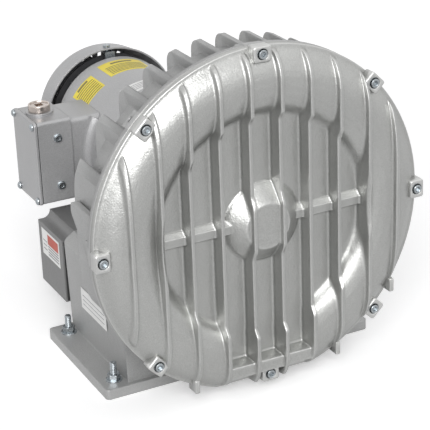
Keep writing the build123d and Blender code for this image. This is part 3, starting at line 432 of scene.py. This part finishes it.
rib_steps = [0, 0.7, 1.1, 1.5, 1.8, 2.05, 2.25, 2.6, 3.1, 3.6, 4.2, 4.8, 5.5, 6.3, 7.3, 8.5]
between = [10.3, 12.2, 14.0, 15.9]
columns = set()
for rib in ribs:
    for step in rib_steps + between:
        columns.update((round(rib - step, 3), round(rib + step, 3)))
    columns.add(round(rib + RIB_PITCH / 2, 3))
ends = list(np.arange(177.5, 198.0, 0.9))
columns = sorted(c for c in columns if abs(c) < 177.0) + ends
columns = np.array(sorted([-e for e in ends] + list(columns)))
grid_z = np.arange(-198.0, 199.6, 1.6)
edges = np.array([-5.0, 10.0, 5.5, -158.0, -159.5, -174.0])
dense = np.concatenate([edges + d for d in (-1.0, -0.5, 0.0, 0.5, 1.0)])
rows = np.array(sorted([z for z in grid_z if np.min(np.abs(dense - z)) > 0.6] + sorted(set(dense.round(3)))))

probe = np.arange(-205.0, 205.0, 0.2)
inside = rim_distance(columns[:, None], probe[None, :]) < -RIM_ROUND
first = inside.argmax(axis=1)
last = inside.shape[1] - 1 - inside[:, ::-1].argmax(axis=1)
keep = inside.any(axis=1)
columns, first, last = columns[keep], first[keep], last[keep]


def edge_between(inner, outer, x):
    """Where the outline crosses the column, between two probes."""
    a, b = rim_distance(x, inner) + RIM_ROUND, rim_distance(x, outer) + RIM_ROUND
    return inner + (outer - inner) * a / (a - b)


top = edge_between(probe[last], probe[last] + 0.2, columns)
foot = edge_between(probe[first], probe[first] - 0.2, columns)

points, faces, index = [], [], []
for x, low_z, high_z in zip(columns, foot, top):
    column = []
    z_here = np.clip(rows, low_z, high_z)
    for j, z in enumerate(z_here):
        if j and z == z_here[j - 1]:
            column.append(column[-1])
        else:
            column.append(len(points))
            points.append((x, z))
    index.append(column)
flat_x = np.array([p[0] for p in points])
flat_z = np.array([p[1] for p in points])
heights = cover_height(flat_x, flat_z)
points = [(x, PARTING - h, z + AXIS_Z) for x, z, h in zip(flat_x, flat_z, heights)]
for i in range(len(index) - 1):
    for j in range(len(rows) - 1):
        corners = [index[i][j], index[i + 1][j], index[i + 1][j + 1], index[i][j + 1]]
        face = [c for k, c in enumerate(corners) if c != corners[k - 1]]
        if len(face) > 2:
            faces.append(face)

# The rim is rounded over and drops to the parting face
loop = []
for chain in ([c[0] for c in index], index[-1], [c[-1] for c in reversed(index)], index[0][::-1]):
    for v in chain:
        if not loop or loop[-1] != v:
            loop.append(v)
loop = loop[:-1] if loop[0] == loop[-1] else loop
ring_xz = np.array([(points[v][0], points[v][2]) for v in loop])
ahead_xz = np.roll(ring_xz, -1, axis=0) - np.roll(ring_xz, 1, axis=0)
outward = np.stack([ahead_xz[:, 1], -ahead_xz[:, 0]], axis=1)
outward /= np.maximum(np.linalg.norm(outward, axis=1, keepdims=True), 1e-6)
previous = loop
for push, drop in ((0.6, 0.16), (1.04, 0.6), (1.2, 1.2), (1.2, None)):
    ring = []
    for k, v in enumerate(loop):
        y = PARTING if drop is None else min(points[v][1] + drop, PARTING)
        ring.append(len(points))
        points.append((ring_xz[k][0] + outward[k][0] * push, y, ring_xz[k][1] + outward[k][1] * push))
    for k in range(len(loop)):
        n = (k + 1) % len(loop)
        faces.append([previous[n], previous[k], ring[k], ring[n]])
    previous = ring
faces.append(previous)


def loft(rings, cap_first=True, cap_last=True):
    """Skin through closed rings of equally many points, all turning the same way."""
    count = len(rings[0])
    made = [[k * count + i, k * count + (i + 1) % count, (k + 1) * count + (i + 1) % count, (k + 1) * count + i]
            for k in range(len(rings) - 1) for i in range(count)]
    if cap_first:
        made.append(list(range(count))[::-1])
    if cap_last:
        made.append([(len(rings) - 1) * count + i for i in range(count)])
    return [tuple(p) for ring in rings for p in ring], made


def placed(shape, origin, out, side):
    """Moves a shape made round its own axis to a place; out is its axis, side its first direction."""
    out, side, origin = Vector(out).normalized(), Vector(side).normalized(), Vector(origin)
    third = out.cross(side)
    return [tuple(origin + side * a + third * b + out * c) for a, b, c in shape[0]], shape[1]


def joined(shapes):
    """Several shapes as one list of points and one of faces."""
    all_points, all_faces = [], []
    for some_points, some_faces in shapes:
        start = len(all_points)
        all_points += some_points
        all_faces += [[v + start for v in face] for face in some_faces]
    return all_points, all_faces


def block_ring(half_a, half_b, corner, height, turns=5, along=6):
    """Rounded rectangle as a ring of points, going round to the left."""
    ring = []
    for quarter, (ca, cb) in enumerate(((1, 1), (-1, 1), (-1, -1), (1, -1))):
        for i in range(turns + 1):
            angle = (quarter + i / turns) * pi / 2
            ring.append((ca * (half_a - corner) + corner * cos(angle),
                         cb * (half_b - corner) + corner * sin(angle), height))
        na, nb = ((-1, 1), (-1, -1), (1, -1), (1, 1))[quarter]
        start, turn_end = Vector(ring[-1]), (quarter + 1) * pi / 2
        stop = Vector((na * (half_a - corner) + corner * cos(turn_end),
                       nb * (half_b - corner) + corner * sin(turn_end), height))
        ring += [tuple(start.lerp(stop, i / along)) for i in range(1, along)]
    return ring


def round_ring(like, radius, height):
    """Circle with a point in the direction of each point of another ring."""
    return [(radius * a / sqrt(a * a + b * b), radius * b / sqrt(a * a + b * b), height) for a, b, _ in like]


def cover_lug():
    """Square lug of a cover screw with its counterbore."""
    outline = block_ring(10.5, 8.5, 2.4, 6.5)
    rings = [outline, block_ring(10.5, 8.5, 2.4, 18.6), block_ring(10.1, 8.1, 2.2, 19.6),
             block_ring(9.2, 7.2, 1.8, 20.0)]
    rings += [round_ring(outline, 6.4, 20.0), round_ring(outline, 6.0, 19.6), round_ring(outline, 6.0, 15.0),
              round_ring(outline, 3.0, 15.0)]
    return loft(rings)


def rib_tip(half_wide, reach, tall):
    """Squared end of a rib that stands past the rim."""
    rings = [block_ring(half_wide, reach, 0.8, 0)] + [
        block_ring(half_wide - inset, reach - inset, 0.8, tall - drop)
        for inset, drop in ((0, 1.2), (0.35, 0.35), (1.2, 0))]
    return loft(rings)


lug_spots = [((180.0 if k == 4 else 190.0), 2 * pi * k / 8) for k in range(8)]
shapes = [(points, faces)]
for reach, angle in lug_spots:
    spot = (reach * sin(angle), PARTING, reach * cos(angle) + AXIS_Z)
    shapes.append(placed(cover_lug(), spot, (0, -1, 0), (cos(angle), 0, -sin(angle))))
for rib in (ribs[2], ribs[7], ribs[9]):
    spot = (rib, PARTING, AXIS_Z - sqrt(FLANGE_R**2 - rib**2) + 1.0)
    shapes.append(placed(rib_tip(2.8, 8.0, 17.0), spot, (0, -1, 0), (1, 0, 0)))
points, faces = joined(shapes)
front_cover = add_mesh("front_cover_casting", points, faces, cover_skin, "blower", ["front_cover"])


# --- Trimmed housing lugs ----------------------------------------------------
# Behind the parting face the lugs of the housing are turned down to its rim, so
# that only the cover's own blocks stand proud of it.
TURNS = 192
trim_section = ((196.3, PARTING - 1.0), (205.0, PARTING - 1.0), (205.0, -105.0),
                (191.0, -105.0), (191.0, -130.8), (196.3, -130.8))
trim_rings = [[(reach * sin(2 * pi * k / TURNS), y, reach * cos(2 * pi * k / TURNS) + AXIS_Z) for k in range(TURNS)]
              for reach, y in trim_section]
trim_points, trim_faces = loft(trim_rings + trim_rings[:1], False, False)
trim_mesh = bpy.data.meshes.new("lug_trim")
trim_mesh.from_pydata([(x * MM, y * MM, z * MM) for x, y, z in trim_points[:-TURNS]], [],
                      [[v % (len(trim_section) * TURNS) for v in face] for face in trim_faces])
trim = bpy.data.objects.new("lug_trim", trim_mesh)
scene.collection.objects.link(trim)
trim_bm = bmesh.new()
trim_bm.from_mesh(trim_mesh)
bmesh.ops.recalc_face_normals(trim_bm, faces=trim_bm.faces)
trim_bm.to_mesh(trim_mesh)
trim_bm.free()
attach(trim, "blower")
trim.hide_render = True
trim.hide_viewport = True
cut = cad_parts["rear_housing"].modifiers.new("lug_trim", "BOOLEAN")
cut.operation = "DIFFERENCE"
cut.solver = "EXACT"
cut.object = trim


# --- Cover screws ------------------------------------------------------------
# Eight socket head cap screws, zinc plated, sunk in the counterbores of the
# lugs on dark washers. Only their heads are made here.
def screw_ring(count, radius, height, flats=False):
    """Circle of points, or a hexagon of that size across flats when asked for."""
    ring = []
    for k in range(count):
        angle = 2 * pi * k / count
        reach = radius / cos((angle + pi / 6) % (pi / 3) - pi / 6) if flats else radius
        ring.append((reach * cos(angle), reach * sin(angle), height))
    return ring


def cap_screw(head_r, head_h, socket):
    """Head of a socket screw from its seat up, with a chamfer and the hexagon."""
    count = 48
    rings = [screw_ring(count, head_r, 0), screw_ring(count, head_r, head_h - 0.6),
             screw_ring(count, head_r - 0.5, head_h), screw_ring(count, socket * 1.22, head_h),
             screw_ring(count, socket, head_h - 0.4, True), screw_ring(count, socket, head_h - 3.0, True)]
    return loft(rings)


shapes = []
for reach, angle in lug_spots:
    spot = (reach * sin(angle), PARTING - 16.0, reach * cos(angle) + AXIS_Z)
    shapes.append(placed(cap_screw(5.0, 6.0, 2.5), spot, (0, -1, 0), (cos(angle + 0.3), 0, -sin(angle + 0.3))))
cover_screws = add_mesh("cover_cap_screws", *joined(shapes), zinc, "blower", ["cover_screws"], smooth=False)


# --- Foot studs, nuts and washers --------------------------------------------
# Plain M8 hardware, bright zinc: four studs with rolled threads stand in the
# feet, each with a flat washer and a chamfered nut.
def threaded_rod(radius, length, pitch, depth):
    """Stud along its own axis, with a thread and a tapered end."""
    rings = [screw_ring(32, radius - depth, 0)]
    steps = int(length / pitch * 6)
    for k in range(steps + 1):
        height = length * k / steps
        ring = []
        for i in range(32):
            angle = 2 * pi * i / 32
            phase = (height / pitch - i / 32) % 1.0
            tooth = abs(2 * phase - 1)
            point = min(1.0, (length - height) / 0.9 + 0.35)
            reach = (radius - depth * (1 - tooth)) * (0.78 + 0.22 * point)
            ring.append((reach * cos(angle), reach * sin(angle), height))
        rings.append(ring)
    return loft(rings)


def hex_nut(across, tall, bore):
    """Nut or bolt head with 30 degree chamfers on its corners."""
    corner = across / 2 / cos(pi / 6)
    rings = []
    for height, chamfer in ((0, 0.93), (0.9, 1.1), (tall - 1.0, 1.1), (tall - 0.5, 0.985), (tall, 0.90)):
        ring = []
        for k in range(48):
            angle = 2 * pi * k / 48
            reach = min(across / 2 / cos((angle + pi / 6) % (pi / 3) - pi / 6), corner * chamfer)
            ring.append((reach * cos(angle), reach * sin(angle), height))
        rings.append(ring)
    rings.append(screw_ring(48, bore + 0.4, tall))
    rings.append(screw_ring(48, bore, tall - 0.5))
    return loft(rings)


def flat_washer(outer, inner, thick):
    """Pressed washer with eased edges."""
    section = ((inner, 0), (outer, 0), (outer, thick - 0.3), (outer - 0.3, thick), (inner + 0.2, thick),
               (inner, thick - 0.2), (inner, 0.0))
    return loft([screw_ring(40, radius, height) for radius, height in section], False, False)


FOOT_SPOTS = [(x, y) for x in (-151.0, 151.0) for y in (-67.0, 67.0)]
up, sideways = (0, 0, 1), (1, 0, 0)
studs = joined([placed(threaded_rod(4.0, 34.0, 1.25, 0.55), (x, y, 0), up, sideways) for x, y in FOOT_SPOTS])
nuts = joined([placed(hex_nut(13.0, 6.5, 3.9), (x, y, 13.6), up, (cos(0.4 * k), sin(0.4 * k), 0))
               for k, (x, y) in enumerate(FOOT_SPOTS)])
washers = joined([placed(flat_washer(9.5, 4.1, 1.6), (x, y, 12.0), up, sideways) for x, y in FOOT_SPOTS])
for name, shape, node in (("threaded_studs", studs, "foot_studs"), ("foot_hex_nuts", nuts, "foot_nuts"),
                          ("foot_flat_washers", washers, "foot_washers")):
    piece = add_mesh(name, *shape, zinc, "blower", [node], smooth=False)


# --- Conduit box: plug, screws and the saddle's cove -------------------------
# Pressed steel box, painted with the motor. A threaded plug closes the upper
# entry, and the base sweeps out to the round of the shell.
PLUG_SPOT = (-128.0, 171.0, 256.0)
plug_section = ((12.2, 0), (13.2, 0.6), (13.2, 7.6), (12.7, 8.3), (10.9, 8.3), (10.4, 7.0), (6.2, 7.0))
plug_rings = [screw_ring(48, radius, height) for radius, height in plug_section]
square = [(4.6 * a / max(abs(a), abs(b)), 4.6 * b / max(abs(a), abs(b))) for a, b, _ in screw_ring(48, 1.0, 0)]
plug_rings += [[(a, b, 7.0) for a, b in square], [(a, b, 2.5) for a, b in square]]
plug = add_mesh("conduit_hub_plug", *placed(loft(plug_rings), PLUG_SPOT, up, sideways), plug_skin, "blower",
                ["conduit_plug"], smooth=False)

cove = [(136.2 - 12.7 * (1 - cos(a)), 93.2 - 12.7 * sin(a)) for a in np.linspace(0, pi / 2, 9)]
cove = [(137.5, 93.2)] + cove + [(123.5, 80.3), (137.5, 80.3)]
cove_rings = [[(reach * sin(a), y, reach * cos(a) + AXIS_Z) for y, reach in cove]
              for a in np.radians(np.linspace(-109, -57, 25))]
base_cove = add_mesh("conduit_base_cove", *loft(cove_rings), motor_skin, "blower", smooth=False)


def round_head(radius, tall):
    """Domed head with a washer face."""
    arc = [(radius * cos(a), tall * 0.25 + tall * 0.75 * sin(a)) for a in np.linspace(0, pi / 2 * 0.96, 7)]
    return loft([screw_ring(24, radius, 0)] + [screw_ring(24, r, h) for r, h in arc])


lid_heads = [placed(round_head(4.6, 3.6), (-150.0, 169.0 + a * 30.4, 201.5 + b * 46.9), (-1, 0, 0), (0, 1, 0))
             for a in (-1, 1) for b in (-1, 1)]
lid_screws = add_mesh("lid_screw_heads", *joined(lid_heads), zinc, "blower", ["conduit_lid_screws"])
box_heads = [placed(shape, (-121.0, 134.0, AXIS_Z + drop), (0, -1, 0), (1, 0, 0))
             for shape in (hex_nut(8.4, 3.4, 1.6), flat_washer(5.4, 2.0, 0.8)) for drop in (31.0, -29.0)]
box_screws = add_mesh("box_screw_heads", *joined(box_heads), zinc, "blower", ["conduit_box_screws"], smooth=False)


# --- Muffler bolts -----------------------------------------------------------
# Four hexagon bolts, zinc plated, pass through the corners of the muffler box
# and hold it to the pedestal. Only their heads show.
bolts = [placed(hex_nut(13.0, 5.3, 0.6), (x, 165.8, z), (0, 1, 0), (1, 0, 0))
         for x in (-130.0, 130.0) for z in (52.0, 110.0)]
bolts = add_mesh("muffler_hex_bolts", *joined(bolts), zinc, "blower", ["muffler_screws"], smooth=False)


# --- Stickers ----------------------------------------------------------------
# Vinyl stickers, stuck on the shell, the muffler box and the pedestal. They
# carry ruled lines and plain panels only.
yellow_vinyl = plain("yellow_vinyl", (0.80, 0.66, 0.06), 0.4, 0.0, 0.06, 300.0)
white_vinyl = plain("white_vinyl", (0.80, 0.80, 0.79), 0.4, 0.0, 0.03, 300.0)
dark_ink = plain("dark_ink", (0.20, 0.17, 0.06), 0.5, 0.0, 0.1, 300.0)
grey_ink = plain("grey_ink", (0.30, 0.30, 0.31), 0.5, 0.0, 0.1, 300.0)
red_ink = plain("red_ink", (0.50, 0.10, 0.07), 0.45, 0.0, 0.1, 300.0)


def sheet(half_a, half_b, bottom, top, where, middle=(0.0, 0.0)):
    """Thin sheet, divided finely enough to follow a round surface."""
    wide = max(2, int(half_a / 1.5))
    tall = max(2, int(half_b / 4.0))
    flat = [(half_a * (2 * i / wide - 1) + middle[0], half_b * (2 * j / tall - 1) + middle[1], top)
            for j in range(tall + 1) for i in range(wide + 1)]
    skin_faces = [(j * (wide + 1) + i, j * (wide + 1) + i + 1, (j + 1) * (wide + 1) + i + 1, (j + 1) * (wide + 1) + i)
                  for j in range(tall) for i in range(wide)]
    border = (list(range(wide)) + [j * (wide + 1) + wide for j in range(tall)]
              + [tall * (wide + 1) + wide - i for i in range(wide)] + [(tall - j) * (wide + 1) for j in range(tall)])
    start = len(flat)
    flat += [(flat[v][0], flat[v][1], bottom) for v in border]
    count = len(border)
    skin_faces += [(border[k], start + k, start + (k + 1) % count, border[(k + 1) % count]) for k in range(count)]
    skin_faces.append(tuple(start + k for k in reversed(range(count))))
    return [where(*p) for p in flat], skin_faces


def on_shell(y, turn_degrees):
    """Round the motor shell: a along its turn, b along the motor."""
    def where(a, b, c):
        reach = 80.55 + c
        angle = radians(turn_degrees) + a / 80.6
        return reach * sin(angle), y - b, reach * cos(angle) + AXIS_Z
    return where


def on_side(x, y, z):
    """Flat side facing left: a towards the cover, b upward."""
    def where(a, b, c):
        return x - c, y - a, z + b
    return where


def ruled(count, half_long, spacing, thick, where, middle=(0.0, 0.0), above=0.3):
    """Evenly spaced plain lines on a sticker."""
    return [sheet(half_long, thick / 2, above - 0.15, above, where,
                  (middle[0], middle[1] + (k - (count - 1) / 2) * spacing)) for k in range(count)]


yellow_one, yellow_two = on_shell(197.0, -42.2), on_shell(206.0, 1.0)
stickers = [sheet(17.6, 22.0, -0.1, 0.2, yellow_one), sheet(29.3, 22.0, -0.1, 0.2, yellow_two)]
add_mesh("shell_stickers", *joined(stickers), yellow_vinyl, "blower", smooth=False)
rules = ruled(7, 15.0, 5.0, 1.7, yellow_one, (0, 4.0)) + ruled(1, 9.0, 1.0, 4.6, yellow_one, (0, -17.0))
rules += ruled(6, 25.0, 4.4, 1.7, yellow_two, (0, 6.0)) + ruled(1, 14.0, 1.0, 4.6, yellow_two, (0, -14.0))
add_mesh("shell_sticker_rules", *joined(rules), dark_ink, "blower", smooth=False)
plate_spot = on_shell(126.0, -14.0)
side_spot, foot_spot = on_side(-143.0, 128.0, 96.5), on_side(-142.4, 2.0, 68.5)
whites = [sheet(18.0, 12.5, -0.1, 0.2, plate_spot), sheet(28.0, 17.0, -0.1, 0.2, side_spot),
          sheet(36.0, 13.0, -0.1, 0.5, foot_spot)]
add_mesh("white_stickers", *joined(whites), white_vinyl, "blower", smooth=False)
add_mesh("side_sticker_panel", *sheet(17.0, 6.5, 0.1, 0.3, side_spot, (8.0, 7.5)), red_ink, "blower", smooth=False)
lines = ruled(4, 12.0, 4.2, 1.0, plate_spot) + ruled(4, 16.5, 3.6, 1.7, side_spot, (8.0, -7.0))
lines += ruled(3, 6.0, 5.4, 1.4, side_spot, (-18.0, -3.0)) + ruled(3, 31.0, 5.6, 0.9, foot_spot, (0.0, -1.0), 0.6)
add_mesh("white_sticker_rules", *joined(lines), grey_ink, "blower", smooth=False)
